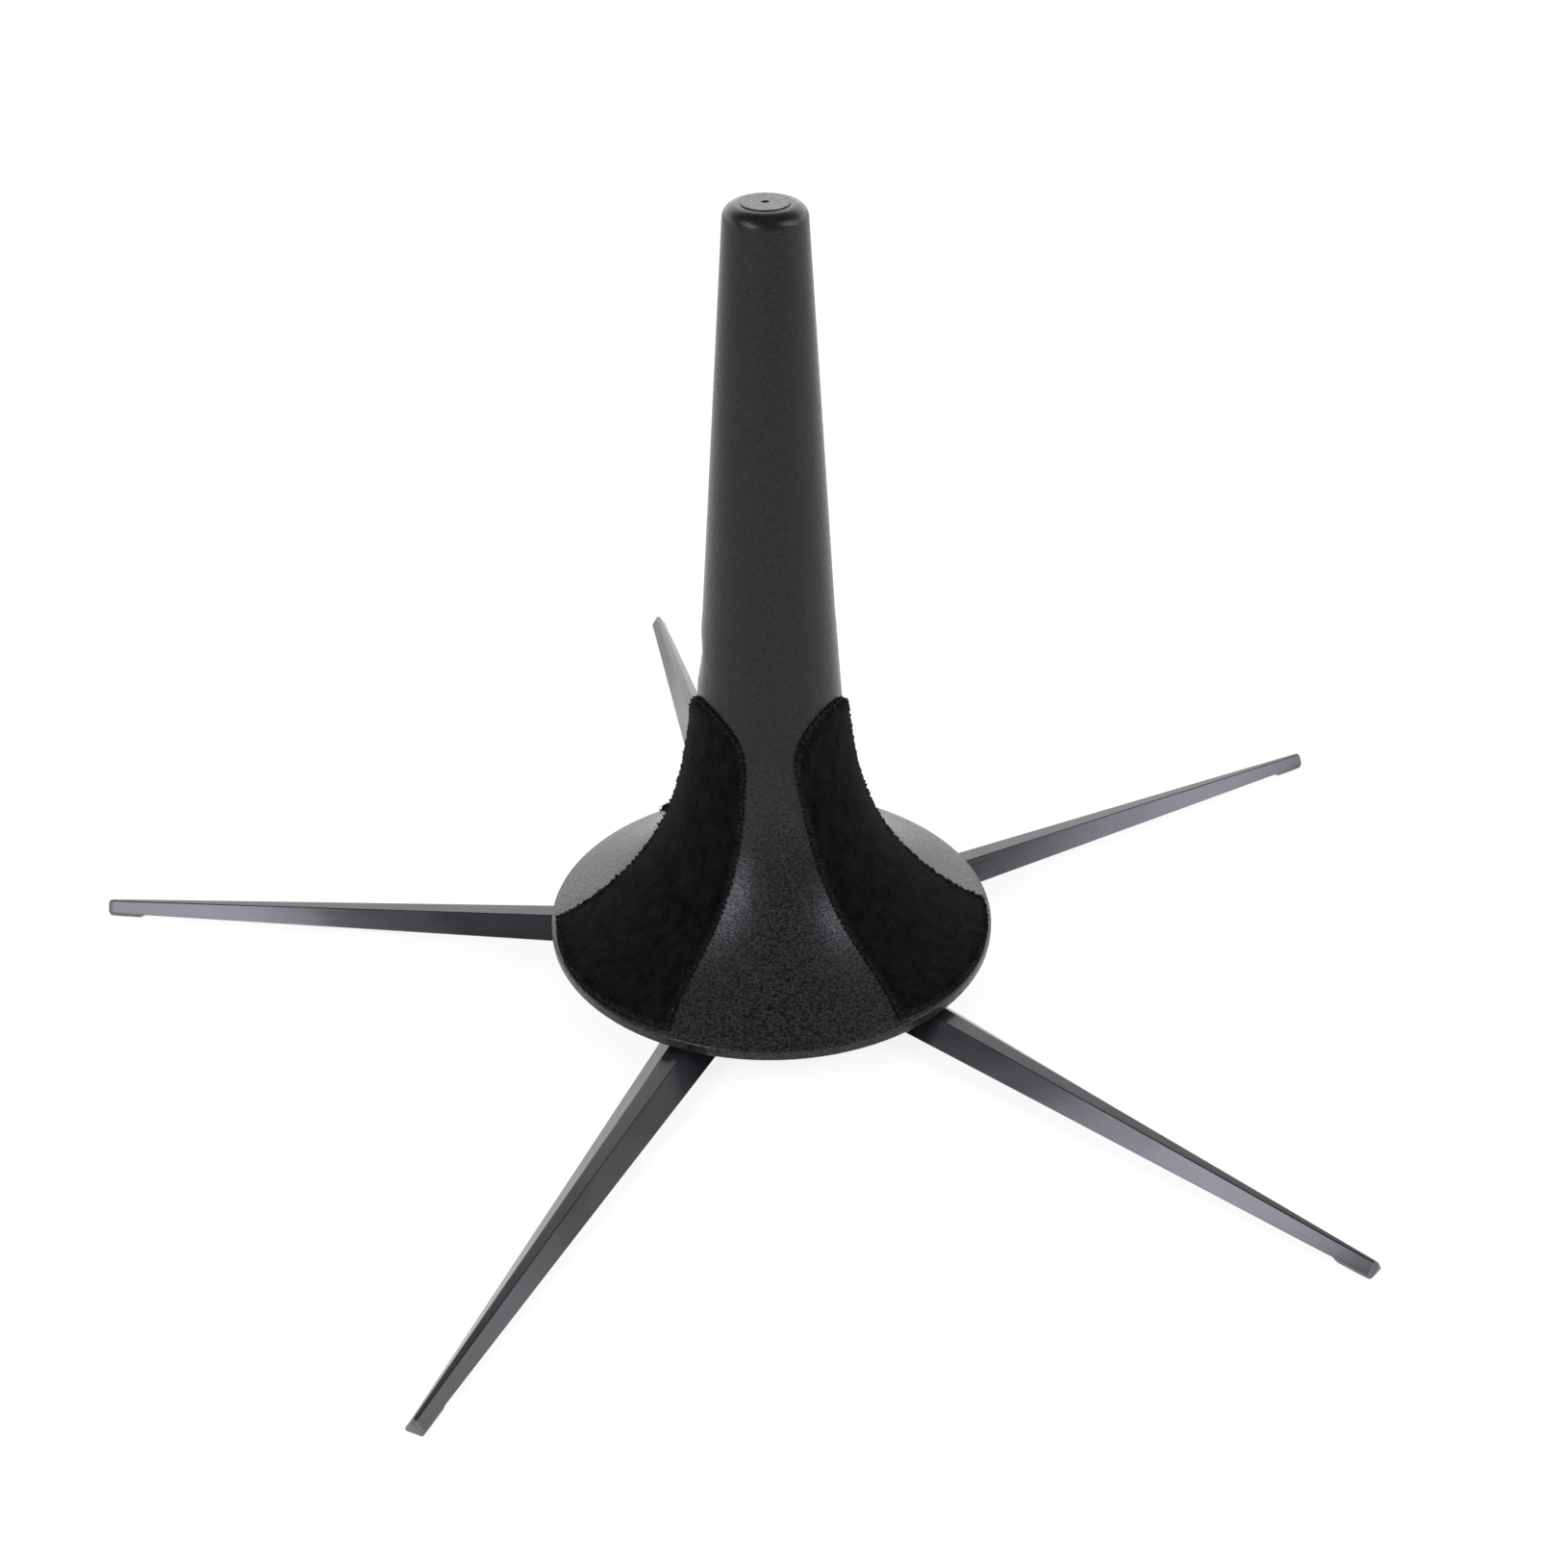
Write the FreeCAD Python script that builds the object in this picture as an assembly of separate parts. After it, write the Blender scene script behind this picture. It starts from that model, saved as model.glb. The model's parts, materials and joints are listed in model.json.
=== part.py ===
import FreeCAD, Part
import math
import os

# Folding five-legged trumpet stand. Millimetres, +Z up.
# The origin is on the cone's axis at floor level, in the centre of the ring of feet.
# A hollow moulded cone stands on a hub; five pressed-steel legs fold down from the hub.

V = FreeCAD.Vector
UP = V(0, 0, 1)

# ---- cone: overall size and wall ----
cone_top_z = 177.2          # top of the small raised disc
cone_face_z = 177.0         # flat end face around that disc
tip_radius = 8.18           # radius that the straight taper reaches at the top
taper = 0.0644              # radius gained per millimetre going down the column
rim_radius = 49.84          # radius of the flare at rim_z
rim_z = 11.26
flare_height = 15.94        # how fast the flare dies away upwards
flare_power = 1.131
wall = 1.9
end_wall = 3.0
rim_low_z = 8.8             # lower edge of the flange's upright side
nose_radius = 0.55          # rounding of the side's upper and lower edges
shoulder_radius = 3.0
disc_radius = 4.85
dimple_radius = 0.75
flare_levels = [11.3, 13, 16, 21, 26, 33, 42, 54, 70, 90]

# ---- socket inside the cone, for the hub's spigot ----
socket_radius = 19.6
socket_wall = 1.6
socket_z = 11.85
socket_top = 42.0
gusset_count = 6
gusset_first_azimuth = 30.0
gusset_thickness = 1.6
gusset_radius = 36.0

# ---- velour pads ----
pad_count = 3
pad_first_azimuth = 93.5
pad_proud = 1.1             # how far the pile stands above the plastic
pad_recess = 0.3            # depth of the seat that the pad is glued into
pad_gap = 0.2               # clearance all round the pad in its seat
pad_low_z = 11.6            # lowest point of the bowed bottom edge
pad_corner_z = 12.2
pad_corner_half = 24.4      # half-width across the bottom corners
pad_left = [(20.5, 16.5), (16.7, 25), (13.9, 36), (12.4, 48), (12.1, 57), (10.7, 65.2), (6.6, 70.2)]
pad_right = [(20.5, 16.5), (16.7, 25), (13.9, 36), (11.9, 48), (10.8, 57), (9.4, 64), (6.2, 68.6)]
pad_apex_z = 71.5
pad_levels = [11.35, 13, 15, 18, 22, 27, 34, 43, 54, 65, 76]

# ---- legs: an inverted channel with splayed flanks, narrowing to the tip ----
leg_count = 5
leg_first_azimuth = 29.6
sheet = 0.9
pivot_radius = 14.5
pivot_z = 6.3
ear_radius = 2.89           # rounded inner end, about the pivot
root_end = 25.0             # the channel's sides are upright up to here
shoulder_at = 38.0          # under the flange
leg_end = 155.9
root_half = 3.0
root_top = 9.19
root_low = 4.65
mid_top_half = 2.03
mid_low_half = 7.02
mid_top = 8.65
mid_low = 4.31
tip_top_half = 0.45
tip_low_half = 1.95
tip_top = 3.74
tip_low = 1.23
least_half = 0.12           # narrowest inside half-width of the channel's web

# ---- rubber feet ----
foot_inner = 146.0
foot_cap = 1.1              # how far the rubber passes the sheet's end
foot_heel = 147.6
foot_heel_step = 0.5        # the heel's first edge, inside the channel
foot_flat_start = 149.3
foot_flat_end = 151.6
foot_toe_z = 0.62
foot_toe_round = 0.5        # corner taken off the toe, each way
foot_fit = 0.03
foot_half = 1.75
foot_crown = 3.2            # radius of the crowned sole
foot_crown_drop = 0.06      # how far the crown is cut flat at the floor

# ---- hub: upper half with the spigot, lower half that traps the pins ----
disc_low = 9.33
disc_high = 11.75
hub_disc_radius = 24.0
block_radius = 19.3
spigot_radius = 19.5
spigot_wall = 1.9
spigot_top = 25.0
boss_radius = 4.4
boss_top = 21.0
web_thickness = 1.6
web_top = 17.0
cover_low = 2.3
bay_half = 3.3
bay_inner = 11.3
edge_break = 0.6
spigot_lead = 1.0           # 45 degree lead-in round the spigot's top

# ---- fasteners ----
pin_radius = 1.25
pin_half = 7.0
pin_chamfer = 0.25
pin_seat = 1.27             # half-round seats in the two hub halves
pin_seat_half = 7.1
pin_hole = 1.30             # running hole in the leg's ears
screw_radius = 1.7
screw_head = 3.4
screw_head_depth = 1.7
screw_end = 18.0
screw_clear = 0.03
drive_radius = 1.5
drive_slot = 0.5
drive_depth = 0.9

overlap = 1.0               # how far cutters and joined pieces run past a face
hair = 0.01                 # the same where the pieces meet in a slope


def radial(azimuth):
    """Unit vector pointing outwards at an azimuth in degrees."""
    a = math.radians(azimuth)
    return V(math.cos(a), math.sin(a), 0)


def turned(shape, azimuth):
    """A copy of a shape made along +X, turned about the axis."""
    copy = shape.copy()
    copy.rotate(V(0, 0, 0), UP, azimuth)
    return copy


def leg_azimuths():
    return [leg_first_azimuth + 360.0 / leg_count * i for i in range(leg_count)]


def pad_azimuths():
    return [pad_first_azimuth + 360.0 / pad_count * i for i in range(pad_count)]


def box(x0, x1, half, z0, z1):
    """A block along +X, centred on the XZ plane."""
    return Part.makeBox(x1 - x0, 2 * half, z1 - z0, V(x0, -half, z0))


def cylinder(radius, z0, z1):
    return Part.makeCylinder(radius, z1 - z0, V(0, 0, z0))


def crosswise(radius, half, x, z):
    """A cylinder lying across +X."""
    return Part.makeCylinder(radius, 2 * half, V(x, half, z), V(0, -1, 0))


def tube(outer, inner, z0, z1):
    return cylinder(outer, z0, z1).cut(cylinder(inner, z0, z1))


def polygon_face(points):
    return Part.Face(Part.makePolygon([V(*p) for p in points + points[:1]]))


# ---------------------------------------------------------------- the cone's surface
def cone_radius(z):
    """Outer radius: a straight taper plus a bell-like flare towards the rim."""
    straight = tip_radius + taper * (cone_top_z - z)
    at_rim = tip_radius + taper * (cone_top_z - rim_z)
    height = max(z - rim_z, 0.0) / flare_height
    return straight + (rim_radius - at_rim) * math.exp(-(height ** flare_power))


def cone_point(z, offset=0.0):
    """Point in the XZ plane on the cone's surface, moved out along its normal."""
    slope = (cone_radius(z + hair) - cone_radius(z - hair)) / (2 * hair)
    length = math.hypot(1.0, slope)
    return V(cone_radius(z) + offset / length, 0, z - offset * slope / length)


def flare_edge(offset, levels):
    curve = Part.BSplineCurve()
    curve.interpolate([cone_point(z, offset) for z in levels])
    return curve.toShape()


def line(a, b):
    return Part.LineSegment(a, b).toShape()


def arc(a, b, c):
    return Part.Arc(a, b, c).toShape()


def revolved(edges):
    face = Part.Face(Part.Wire(edges))
    return face.revolve(V(0, 0, 0), UP, 360)


def cone_outside():
    """Solid of revolution bounded by the outer surface."""
    start = cone_point(flare_levels[0])
    inner = cone_point(flare_levels[0], -nose_radius)
    side = V(inner.x + nose_radius, 0, inner.z)
    foot = V(inner.x, 0, rim_low_z)
    foot_side = V(side.x, 0, rim_low_z + nose_radius)
    turn = nose_radius * math.sqrt(0.5)
    half_lean = math.atan2(start.z - inner.z, start.x - inner.x) / 2
    nose = inner + V(math.cos(half_lean), 0, math.sin(half_lean)) * nose_radius
    heel = V(inner.x + turn, 0, foot_side.z - turn)
    top_of_flare = cone_point(flare_levels[-1])
    bend_z = cone_face_z - shoulder_radius
    bend = V(tip_radius + taper * (cone_top_z - bend_z), 0, bend_z)
    middle = V(bend.x - shoulder_radius, 0, bend_z)
    reach = shoulder_radius * math.sqrt(0.5)
    corner = V(middle.x + reach, 0, bend_z + reach)
    flat = V(middle.x, 0, cone_face_z)
    edges = [
        line(V(0, 0, rim_low_z), foot),
        arc(foot, heel, foot_side),
        line(foot_side, side),
        arc(side, nose, start),
        flare_edge(0, flare_levels),
        line(top_of_flare, bend),
        arc(bend, corner, flat),
        line(flat, V(0, 0, cone_face_z)),
        line(V(0, 0, cone_face_z), V(0, 0, rim_low_z)),
    ]
    return revolved(edges)


def cone_inside():
    """The hollow: the outer surface moved in by the wall, open at the bottom."""
    start = cone_point(flare_levels[0], -wall)
    top_of_flare = cone_point(flare_levels[-1], -wall)
    roof = cone_face_z - end_wall
    roof_corner = V(tip_radius + taper * (cone_top_z - roof) - wall, 0, roof)
    floor = V(start.x, 0, rim_low_z - overlap)
    edges = [
        line(V(0, 0, floor.z), floor),
        line(floor, start),
        flare_edge(-wall, flare_levels),
        line(top_of_flare, roof_corner),
        line(roof_corner, V(0, 0, roof)),
        line(V(0, 0, roof), V(0, 0, floor.z)),
    ]
    return revolved(edges)


def pad_prism(grow):
    """The pad's outline, seen from straight in front of it, pushed through the wall."""
    corner = (pad_corner_half + grow, pad_corner_z - grow)
    right = [corner] + [(y + grow, z) for y, z in pad_right]
    left = [corner] + [(y + grow, z) for y, z in pad_left]
    arch = right + [(0.0, pad_apex_z + grow)] + [(-y, z) for y, z in reversed(left)]
    corners = [V(tip_radius, y, z) for y, z in arch]
    outline = Part.BSplineCurve()
    outline.interpolate(corners)
    bottom = arc(corners[-1], V(tip_radius, 0, pad_low_z - grow), corners[0])
    face = Part.Face(Part.Wire([outline.toShape(), bottom]))
    return face.extrude(V(rim_radius, 0, 0))


def band(low, high):
    """Ring of material between two offsets of the cone's surface, over the pads' height."""
    top = pad_levels[-1]
    bottom = pad_levels[0]
    edges = [
        flare_edge(low, pad_levels),
        line(cone_point(top, low), cone_point(top, high)),
        flare_edge(high, pad_levels),
        line(cone_point(bottom, high), cone_point(bottom, low)),
    ]
    return revolved(edges)


def make_cone_body():
    outside = cone_outside()
    inside = cone_inside()
    socket = tube(socket_radius + socket_wall, socket_radius, socket_z, socket_top)
    gusset = box(socket_radius + overlap, gusset_radius, gusset_thickness / 2, socket_z, socket_top)
    body = outside.cut(inside).fuse(socket.common(outside))
    for i in range(gusset_count):
        azimuth = gusset_first_azimuth + 360.0 / gusset_count * i
        body = body.fuse(turned(gusset, azimuth).common(outside))
    body = body.fuse(cylinder(disc_radius, cone_face_z - overlap, cone_top_z))
    body = body.cut(Part.makeSphere(dimple_radius, V(0, 0, cone_top_z)))
    seat = band(-pad_recess, pad_proud).common(pad_prism(pad_gap))
    for azimuth in pad_azimuths():
        body = body.cut(turned(seat, azimuth))
    return body.removeSplitter()


def make_pad(azimuth):
    pad = band(-pad_recess, pad_proud).common(pad_prism(0.0))
    return turned(pad, azimuth)


# ---------------------------------------------------------------- legs and feet
def between(a, b, share):
    return a + (b - a) * share


def leg_section(x):
    """Half-widths and heights of the channel's outside at a distance from the axis."""
    if x <= root_end:
        return root_half, root_half, root_top, root_low
    if x <= shoulder_at:
        share = (x - root_end) / (shoulder_at - root_end)
        near = (root_half, root_half, root_top, root_low)
        far = (mid_top_half, mid_low_half, mid_top, mid_low)
    else:
        share = (x - shoulder_at) / (leg_end - shoulder_at)
        near = (mid_top_half, mid_low_half, mid_top, mid_low)
        far = (tip_top_half, tip_low_half, tip_top, tip_low)
    return tuple(between(a, b, share) for a, b in zip(near, far))


def trapezoid(x, top_half, low_half, top, low):
    corners = [(x, -low_half, low), (x, -top_half, top), (x, top_half, top), (x, low_half, low)]
    return Part.makePolygon([V(*p) for p in corners + corners[:1]])


def outer_wire(x):
    top_half, low_half, top, low = leg_section(x)
    return trapezoid(x, top_half, low_half, top, low)


def inner_wire(x, shrink=0.0, extend=2 * overlap):
    """The channel's inside, one sheet thickness in, carried on below the open side."""
    top_half, low_half, top, low = leg_section(x)
    lean = (low_half - top_half) / (top - low)
    sideways = (sheet + shrink) * math.hypot(1.0, lean)
    roof = top - sheet - shrink
    roof_half = max(top_half + lean * (sheet + shrink) - sideways, least_half)
    open_half = low_half - sideways
    grow = (open_half - roof_half) / (roof - low)
    return trapezoid(x, roof_half, open_half + grow * extend, roof, low - extend)


def loft(wires):
    return Part.makeLoft(wires, True, True)


def make_leg():
    """One leg along +X, channel open downwards, with two ears round the hinge pin."""
    stations = [root_end, shoulder_at, leg_end]
    outside = loft([outer_wire(x) for x in stations])
    inside = loft([inner_wire(x) for x in [root_end - hair, shoulder_at, leg_end + hair]])
    blade = outside.cut(inside)
    ear = crosswise(ear_radius, root_half, pivot_radius, pivot_z)
    ear_low = pivot_z - ear_radius
    side = [(pivot_radius, ear_low), (pivot_radius, root_top), (root_end, root_top), (root_end, root_low)]
    cheek = polygon_face([(x, -root_half, z) for x, z in side]).extrude(V(0, 2 * root_half, 0))
    gap_half = root_half - sheet
    gap = box(bay_inner, root_end + hair, gap_half, 0, root_top - sheet)
    root = ear.fuse(cheek).cut(gap)
    hole = crosswise(pin_hole, root_half + overlap, pivot_radius, pivot_z)
    return root.cut(hole).fuse(blade).removeSplitter()


def make_foot():
    """Rubber plug in the channel's tip, with a crowned sole and an end cap."""
    plug = loft([inner_wire(x, foot_fit, 0.0) for x in (foot_inner, leg_end)])
    cap_end = leg_end + foot_cap
    cap = Part.Face(outer_wire(leg_end)).extrude(V(foot_cap, 0, 0))
    heel_low = leg_section(foot_heel)[3]
    profile = [
        (foot_heel - 2 * foot_heel_step, heel_low + foot_heel_step),
        (foot_heel, heel_low),
        (foot_flat_start, 0.0),
        (foot_flat_end, 0.0),
        (cap_end - foot_toe_round, foot_toe_z),
        (cap_end, foot_toe_z + foot_toe_round),
        (cap_end, tip_low + foot_toe_round),
    ]
    sole = polygon_face([(x, -foot_half, z) for x, z in profile]).extrude(V(0, 2 * foot_half, 0))
    crown_start = V(foot_inner, 0, foot_crown - foot_crown_drop)
    crown = Part.makeCylinder(foot_crown, cap_end + overlap - foot_inner, crown_start, V(1, 0, 0))
    sole = sole.common(crown)
    channel = loft([outer_wire(x) for x in (foot_inner - overlap, leg_end)])
    hollow = loft([inner_wire(x, foot_fit, 0.0) for x in (foot_inner - overlap, leg_end)])
    sole = sole.cut(channel.cut(hollow))
    return plug.fuse(sole).fuse(cap).removeSplitter()


# ---------------------------------------------------------------- hub and fasteners
def cut_bays(shape, z0, z1):
    """Open slots, one for each leg's root, with the seats of its hinge pin beside them."""
    slot = box(bay_inner, hub_disc_radius + overlap, bay_half, z0, z1)
    seat = crosswise(pin_seat, pin_seat_half, pivot_radius, pivot_z)
    for azimuth in leg_azimuths():
        shape = shape.cut(turned(slot, azimuth)).cut(turned(seat, azimuth))
    return shape


def make_leg_hub():
    block = cut_bays(cylinder(block_radius, pivot_z, disc_low), pivot_z - overlap, disc_low)
    disc = cylinder(hub_disc_radius, disc_low, disc_high)
    disc = disc.makeChamfer(edge_break, disc.Edges)
    spigot = tube(spigot_radius, spigot_radius - spigot_wall, disc_high, spigot_top)
    lead_low = spigot_top - spigot_lead
    lead = Part.makeCone(spigot_radius, spigot_radius - spigot_lead, spigot_lead, V(0, 0, lead_low))
    spigot = spigot.common(cylinder(spigot_radius, disc_high, lead_low).fuse(lead))
    boss = cylinder(boss_radius, disc_high, boss_top)
    hub = block.fuse(disc).fuse(spigot).fuse(boss)
    rib_start = boss_radius - edge_break
    rib_end = spigot_radius - spigot_wall + edge_break
    rib = box(rib_start, rib_end, web_thickness / 2, disc_high - edge_break, web_top)
    for azimuth in leg_azimuths():
        hub = hub.fuse(turned(rib, azimuth + 180.0 / leg_count))
    hole = cylinder(screw_radius + screw_clear, pivot_z - overlap, screw_end + overlap)
    return hub.cut(hole).removeSplitter()


def make_hub_cover():
    """Lower half of the hub: it closes the pin seats and carries the screw's head."""
    plate = cylinder(block_radius, cover_low, pivot_z)
    rim = [e for e in plate.Edges if e.BoundBox.ZMax < cover_low + hair]
    plate = cut_bays(plate.makeChamfer(edge_break, rim), cover_low - overlap, pivot_z)
    hole_radius = screw_radius + screw_clear
    sink = Part.makeCone(screw_head + screw_clear, hole_radius, screw_head_depth, V(0, 0, cover_low))
    return plate.cut(sink.fuse(cylinder(hole_radius, cover_low, pivot_z))).removeSplitter()


def make_hub_screw():
    """Countersunk screw with a cross recess, driven up from below."""
    head = Part.makeCone(screw_head, screw_radius, screw_head_depth, V(0, 0, cover_low))
    shank = cylinder(screw_radius, cover_low + screw_head_depth, screw_end)
    slot = box(-drive_radius, drive_radius, drive_slot / 2, cover_low, cover_low + drive_depth)
    cross = slot.fuse(turned(slot, 90))
    return head.fuse(shank).cut(cross)


def make_hinge_pin():
    pin = crosswise(pin_radius, pin_half, pivot_radius, pivot_z)
    return pin.makeChamfer(pin_chamfer, [e for e in pin.Edges if e.Closed])


# ---------------------------------------------------------------- the whole stand
def all_nodes():
    nodes = {
        "cone_body": make_cone_body(),
        "leg_hub": make_leg_hub(),
        "hub_cover": make_hub_cover(),
        "hub_screw": make_hub_screw(),
    }
    for i, azimuth in enumerate(pad_azimuths(), 1):
        nodes[f"velour_pad_{i}"] = make_pad(azimuth)
    leg = make_leg()
    foot = make_foot()
    pin = make_hinge_pin()
    for i, azimuth in enumerate(leg_azimuths(), 1):
        nodes[f"leg_{i}"] = turned(leg, azimuth)
        nodes[f"foot_{i}"] = turned(foot, azimuth)
        nodes[f"hinge_pin_{i}"] = turned(pin, azimuth)
    return nodes


def main():
    os.makedirs("parts", exist_ok=True)
    for name, shape in all_nodes().items():
        solids = shape.Solids
        print(f"{name}: valid {shape.isValid()}, solids {len(solids)}, volume {shape.Volume:.1f}")
        result = solids[0] if len(solids) == 1 else shape
        result.exportStep(f"parts/{name}.step")


main()
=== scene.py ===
import json
import math

import bmesh
import bpy
import numpy as np
from mathutils import Matrix, Quaternion, Vector, geometry, kdtree, noise


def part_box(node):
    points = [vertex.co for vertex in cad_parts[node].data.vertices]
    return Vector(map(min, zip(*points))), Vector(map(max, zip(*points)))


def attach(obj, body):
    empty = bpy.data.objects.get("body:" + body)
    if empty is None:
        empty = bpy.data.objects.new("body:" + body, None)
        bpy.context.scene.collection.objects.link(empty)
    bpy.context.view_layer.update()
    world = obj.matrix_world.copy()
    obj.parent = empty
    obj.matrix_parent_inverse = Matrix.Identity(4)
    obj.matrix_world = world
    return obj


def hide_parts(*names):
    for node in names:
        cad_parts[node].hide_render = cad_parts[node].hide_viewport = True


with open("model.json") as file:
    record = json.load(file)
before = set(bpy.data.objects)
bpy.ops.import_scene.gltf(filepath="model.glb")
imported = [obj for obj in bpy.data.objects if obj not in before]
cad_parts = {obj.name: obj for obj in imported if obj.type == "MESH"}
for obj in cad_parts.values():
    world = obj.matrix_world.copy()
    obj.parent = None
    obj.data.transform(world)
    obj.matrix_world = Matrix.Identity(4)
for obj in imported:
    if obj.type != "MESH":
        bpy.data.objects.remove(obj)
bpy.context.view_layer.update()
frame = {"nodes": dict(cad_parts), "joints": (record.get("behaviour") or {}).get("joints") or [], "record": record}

# Folding trumpet stand, in metres, in the frame of the CAD model: +Z up, the origin on the
# cone's axis at floor level. The legs point outwards from the hub.
MM = 0.001
UP = Vector((0, 0, 1))
BODY_OF = {node: body for body, nodes in frame["record"]["behaviour"]["bodies"].items() for node in nodes}

# ---- the cone's outer surface: a straight taper plus a bell-like flare ----
cone_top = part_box("cone_body")[1].z
tip_radius = 8.18 * MM
taper = 0.0644
rim_radius = 49.84 * MM
rim_z = 11.26 * MM
flare_height = 15.94 * MM
flare_power = 1.131
flare_grain_end = 30 * MM   # between these heights the flare's deep grain fades to the column's faint one
column_grain_start = 65 * MM

# ---- velour pads ----
pad_names = ["velour_pad_1", "velour_pad_2", "velour_pad_3"]
pad_first_azimuth = math.radians(93.5)
pad_proud = 1.1 * MM
pad_recess = 0.28 * MM
pad_low = 11.6 * MM         # lowest point of the bowed bottom edge
pad_corner = 24.4 * MM      # half-width across the bottom corners
pad_corner_z = 12.2 * MM
# Both sides of the arch, from the corners up: (half-width, height) in mm.
pad_left = [(20.5, 16.5), (16.7, 25), (13.9, 36), (12.4, 48), (12.1, 57), (10.7, 65.2), (6.6, 70.2)]
pad_right = [(20.5, 16.5), (16.7, 25), (13.9, 36), (11.9, 48), (10.8, 57), (9.4, 64), (6.2, 68.6)]
pad_apex = 71.5 * MM
pad_middle = Vector((0.0, 25.0 * MM))
pad_outline_step = 0.1 * MM
pad_mesh_step = 0.42 * MM
pad_edge_step = 0.2 * MM
pad_edge_round = 0.8 * MM   # the pile is rounded off this far in from the edge
pad_edge_drop = 0.6 * MM
pad_gap = 0.1 * MM          # between the cut edge and the wall of its seat
pad_tooth = 1.3 * MM        # spacing of the clumps that the cut edge shows, and their depth
pad_tooth_depth = 0.45 * MM
pad_tooth_wander = 0.8      # how far the spacing strays, as a share of it
pad_fray = 0.12 * MM        # depth and spacing of the loose ends that cutting leaves
pad_fray_step = 0.35 * MM
pad_seed_step = 3.0         # sets the three pads' patterns apart

# ---- the pile's relief ----
pile_clump = 1.1 * MM       # size and height of the wide clumps
pile_clump_height = 0.09 * MM
pile_tuft = 0.55 * MM       # size and height of the tufts in the cloth
pile_tuft_height = 0.05 * MM
pile_fringe = 2.4 * MM      # this close to the edge they stand higher, up to pile_fringe_height more
pile_fringe_height = 1.0 * MM
cut_clump = 0.55 * MM       # size of the pale clumps along the cut edge
cut_pale = 0.16             # how pale the cut edge is at most

# ---- loose tufts, which stand out of the pile ----
tufts_per_mm2 = 3.0
tufts_per_mm_of_edge = 11.0
tuft_length = 0.42 * MM
tuft_width = 0.09 * MM
tuft_root = 0.1 * MM        # how deep a tuft starts in the pile
tuft_pale = 0.05            # how pale a tuft is at most, apart from lint
lint_share = 0.06           # of the tufts at the edge, how many are pale lint
lint_width = 0.2 * MM
tuft_seed = 11

# ---- legs: pressed channels, drawn along +X and then turned ----
leg_joints = [j for j in frame["joints"] if j["name"].startswith("leg_fold")]
pivot_radius = math.hypot(*leg_joints[0]["pos_m"][:2])
pivot_z = leg_joints[0]["pos_m"][2]
leg_sheet = 0.9 * MM
ear_radius = 2.89 * MM
pin_hole = 1.3 * MM
root_end = 25.0 * MM
shoulder_at = 38.0 * MM
leg_end = 155.9 * MM
# A section is its half-widths at the top and the bottom, and the heights of its top and bottom.
root_section = (3.0 * MM, 3.0 * MM, 9.19 * MM, 4.65 * MM)
shoulder_section = (2.03 * MM, 7.02 * MM, 8.65 * MM, 4.31 * MM)
tip_section = (0.45 * MM, 1.95 * MM, 3.74 * MM, 1.23 * MM)
least_half = 0.12 * MM
bend_outside = 0.36 * MM
bend_inside = 0.12 * MM
lip_round = 0.14 * MM
sliver = 0.02 * MM          # keeps an ear's faces off the channel's own

# ---- rubber feet ----
foot_inner = 146.0 * MM
foot_fit = 0.03 * MM
foot_half = 1.75 * MM
foot_end = 157.0 * MM
foot_crown = 3.2 * MM
foot_crown_drop = 0.06 * MM
# The sole along the foot, as (distance from the cone's axis, height) in mm: heel, flat and toe.
foot_profile = [(147.6, 1.45), (149.3, 0.0), (151.6, 0.0), (156.5, 0.62), (157.0, 1.12)]
foot_toe_middle = 153.5 * MM
foot_plug_round = 0.1 * MM  # upper corners: of the plug inside the channel, and of the end cap
foot_cap_round = 0.5 * MM
foot_low_round = 0.04 * MM  # lower corners of both
foot_end_round = 0.95 * MM
foot_end_steps = 5
foot_dome = 0.7             # how far the rounded end closes in, as a share of its length

# ---- the studio ----
floor_radius = 6.0
floor_sides = 96
# The surroundings fade along dark_side: from where to where, and from which brightness to which.
dark_side = (0.0, -0.8, 1.0)
world_fade = (-0.05, 0.32, 2.6, 0.2)
softbox_distance = 1.1
softbox_elevation = 26
softbox_roll = -33
softbox_tint = (0.935, 0.94, 1.07)

# ---- camera ----
camera_height_angle = math.radians(37.095)
camera_distance = 536.301 * MM
camera_turn = math.radians(0.404)
camera_tilt = math.radians(-32.972)
camera_roll = math.radians(-0.278)
camera_lens = 53.27         # millimetres, like the sensor's width
camera_sensor = 36.0


# ================================================================ small helpers
def link(obj):
    bpy.context.scene.collection.objects.link(obj)
    return obj


def mesh_object(name, points, faces, smooth_below=None):
    """A new object from plain lists; edges flatter than smooth_below degrees are shaded smooth."""
    mesh = bpy.data.meshes.new(name)
    mesh.from_pydata([tuple(p) for p in points], [], faces)
    mesh.validate()
    mesh.update()
    if smooth_below is not None:
        shade(mesh, smooth_below)
    return link(bpy.data.objects.new(name, mesh))


def shade(mesh, smooth_below):
    mesh.polygons.foreach_set("use_smooth", [True] * len(mesh.polygons))
    mesh.set_sharp_from_angle(angle=math.radians(smooth_below))


def flat_faced(obj):
    """Weights the shading by area, so that flat faces look flat and only the bends look round."""
    modifier = obj.modifiers.new("weighted", "WEIGHTED_NORMAL")
    modifier.keep_sharp = True
    return apply_modifiers(obj)


def outward(obj):
    """Makes every face point out of the closed mesh."""
    work = bmesh.new()
    work.from_mesh(obj.data)
    bmesh.ops.recalc_face_normals(work, faces=work.faces)
    work.to_mesh(obj.data)
    work.free()
    return obj


def apply_modifiers(obj):
    graph = bpy.context.evaluated_depsgraph_get()
    graph.update()
    mesh = bpy.data.meshes.new_from_object(obj.evaluated_get(graph))
    obj.modifiers.clear()
    obj.data = mesh
    return obj


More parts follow.
